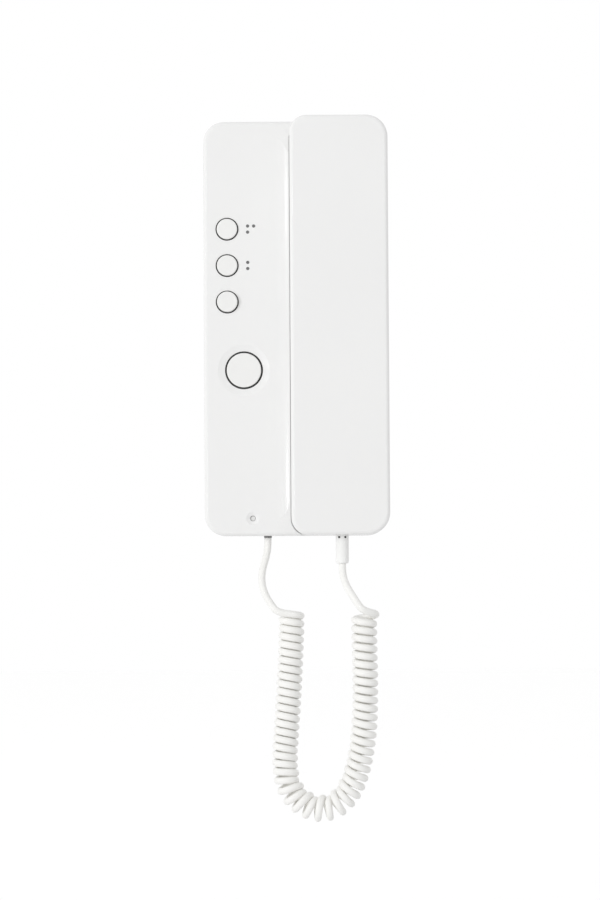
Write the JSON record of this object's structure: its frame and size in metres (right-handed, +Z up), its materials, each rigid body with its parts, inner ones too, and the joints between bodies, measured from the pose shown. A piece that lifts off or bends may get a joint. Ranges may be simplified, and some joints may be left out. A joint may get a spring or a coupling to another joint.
{
  "type": "audio intercom handset",
  "caption": "Wall door phone: flat base with small round keys and a large door key, and a lift-off handset on a hanging curly cord.",
  "frame": {"origin": "centre of the two wall screw slots, on the back face of the wall plate", "axes": "+Z up the wall, -Y out of the wall towards the user, +X to the user's right"},
  "size_m": [0.09, 0.045, 0.3426],
  "materials": {
    "gloss_white": "glossy moulded white",
    "key_white": "satin moulded white",
    "cord_white": "satin flexible sheath",
    "boot_white": "satin moulded white",
    "plate_white": "fine textured",
    "mid_grey": "matt",
    "grey_ink": "matt printed ink",
    "black_plastic": "matt moulded",
    "board_green": "solder mask",
    "terminal_green": "moulded",
    "steel": "zinc plated",
    "can_aluminium": "satin",
    "black_rubber": "matt",
    "cone_paper": "pressed paper",
    "clear_light": "clear moulded",
    "led_white": "encapsulated",
    "transformer_black": "lacquered"
  },
  "bodies": {
    "base": {"front_cover": "gloss_white", "wall_plate": "plate_white", "cable_entry_lining": "mid_grey", "main_board": "board_green", "board_screws": "steel", "key_switches": "black_plastic", "door_switch": "black_plastic", "terminal_block": "terminal_green", "terminal_screws": "steel", "board_chips": "black_plastic", "capacitors": "can_aluminium", "line_transformer": "transformer_black", "status_led": "led_white", "light_pipe": "clear_light", "printed_dots": "grey_ink", "call_speaker_frame": "steel", "call_speaker_cone": "cone_paper", "hook_pivot_pin": "steel", "hook_spring": "steel", "hook_switch": "black_plastic", "base_cord_jack": "black_plastic", "base_cord_plug": "clear_light", "base_cord_bushing": "mid_grey", "base_lead": "cord_white", "curly_cord": "cord_white", "handset_lead": "cord_white"},
    "upper_key": {"upper_key": "key_white", "upper_key_plunger": "black_plastic"},
    "middle_key": {"middle_key": "key_white", "middle_key_plunger": "black_plastic"},
    "lower_key": {"lower_key": "key_white", "lower_key_plunger": "black_plastic"},
    "door_key": {"door_key": "key_white", "door_key_plunger": "black_plastic"},
    "hook_lever": {"hook_lever": "plate_white"},
    "handset": {"handset_front": "gloss_white", "handset_rear": "gloss_white", "receiver_gasket": "black_rubber", "receiver_frame": "steel", "receiver_cone": "cone_paper", "microphone": "can_aluminium", "microphone_boot": "black_rubber", "ballast_weight": "steel", "shell_screws": "steel", "handset_cord_boot": "boot_white", "handset_cord_plug": "clear_light"}
  },
  "joints": [
    {"name": "handset_lift", "type": "slide", "parent": "base", "child": "handset", "axis": [0, -1, 0], "range_m": [0, 0.06]},
    {"name": "hook_swing", "type": "hinge", "parent": "base", "child": "hook_lever", "pos_m": [0.031, -0.009, 0.016], "axis": [1, 0, 0], "range_deg": [0, 7.7], "deforming": ["hook_spring"]},
    {"name": "upper_key_press", "type": "slide", "parent": "base", "child": "upper_key", "axis": [0, 1, 0], "range_m": [0, 0.0008], "stiffness_N_per_m": 600},
    {"name": "middle_key_press", "type": "slide", "parent": "base", "child": "middle_key", "axis": [0, 1, 0], "range_m": [0, 0.0008], "stiffness_N_per_m": 600},
    {"name": "lower_key_press", "type": "slide", "parent": "base", "child": "lower_key", "axis": [0, 1, 0], "range_m": [0, 0.0008], "stiffness_N_per_m": 600},
    {"name": "door_key_press", "type": "slide", "parent": "base", "child": "door_key", "axis": [0, 1, 0], "range_m": [0, 0.001], "stiffness_N_per_m": 600}
  ],
  "couplings": [
    {"joint": "hook_swing", "follows": "handset_lift", "rad_per_m": 2.2107}
  ]
}
